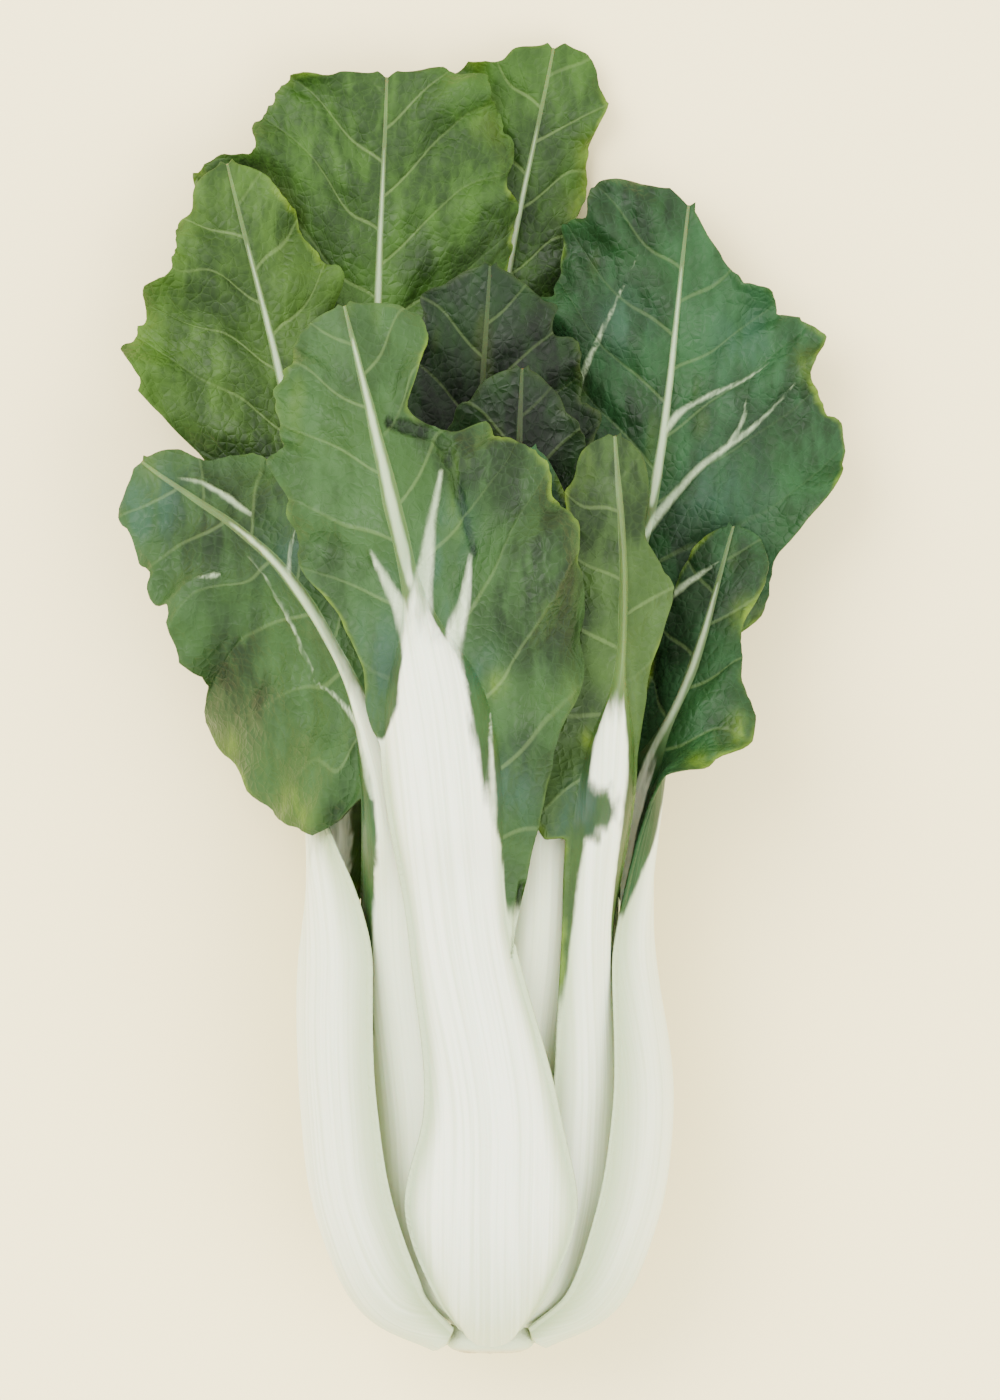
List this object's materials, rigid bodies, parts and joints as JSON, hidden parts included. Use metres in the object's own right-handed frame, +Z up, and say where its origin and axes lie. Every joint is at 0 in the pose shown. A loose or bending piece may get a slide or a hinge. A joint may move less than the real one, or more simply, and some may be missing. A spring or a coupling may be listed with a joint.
{
  "type": "bok choy",
  "caption": "Picked head of bok choy lying on its side: broad white spoon-shaped stalks wrapped round a cut butt, opening into a fan of waved dark green leaf blades.",
  "frame": {"origin": "middle of the small flat spot under the belly of the lowest stalk, where the lying head touches the table", "axes": "+Y along the head from the cut butt to the leaf tips, +Z up from the table, +X to the right as seen from above with the leaf tips away from the viewer"},
  "size_m": [0.1827, 0.329, 0.0807],
  "materials": {
    "stalk_white": "smooth waxy white stalk, faintly ribbed along its length",
    "blade_green": "soft green leaf with a dull waxy sheen and pale veins",
    "cut_butt": "cut stem, pale yellow green, drying at the edge"
  },
  "bodies": {
    "root": {"core": "cut_butt", "stalk_back_tall": "stalk_white", "blade_back_tall": "blade_green", "stalk_back": "stalk_white", "blade_back": "blade_green", "stalk_left_back": "stalk_white", "blade_left_back": "blade_green", "stalk_right_back": "stalk_white", "blade_right_back": "blade_green", "stalk_heart_low": "stalk_white", "blade_heart_low": "blade_green", "stalk_heart_high": "stalk_white", "blade_heart_high": "blade_green", "stalk_right_side": "stalk_white", "blade_right_side": "blade_green", "stalk_left_front": "stalk_white", "blade_left_front": "blade_green", "stalk_centre_right": "stalk_white", "blade_centre_right": "blade_green", "stalk_right_front": "stalk_white", "blade_right_front": "blade_green", "stalk_front": "stalk_white", "blade_front": "blade_green"}
  },
  "joints": []
}
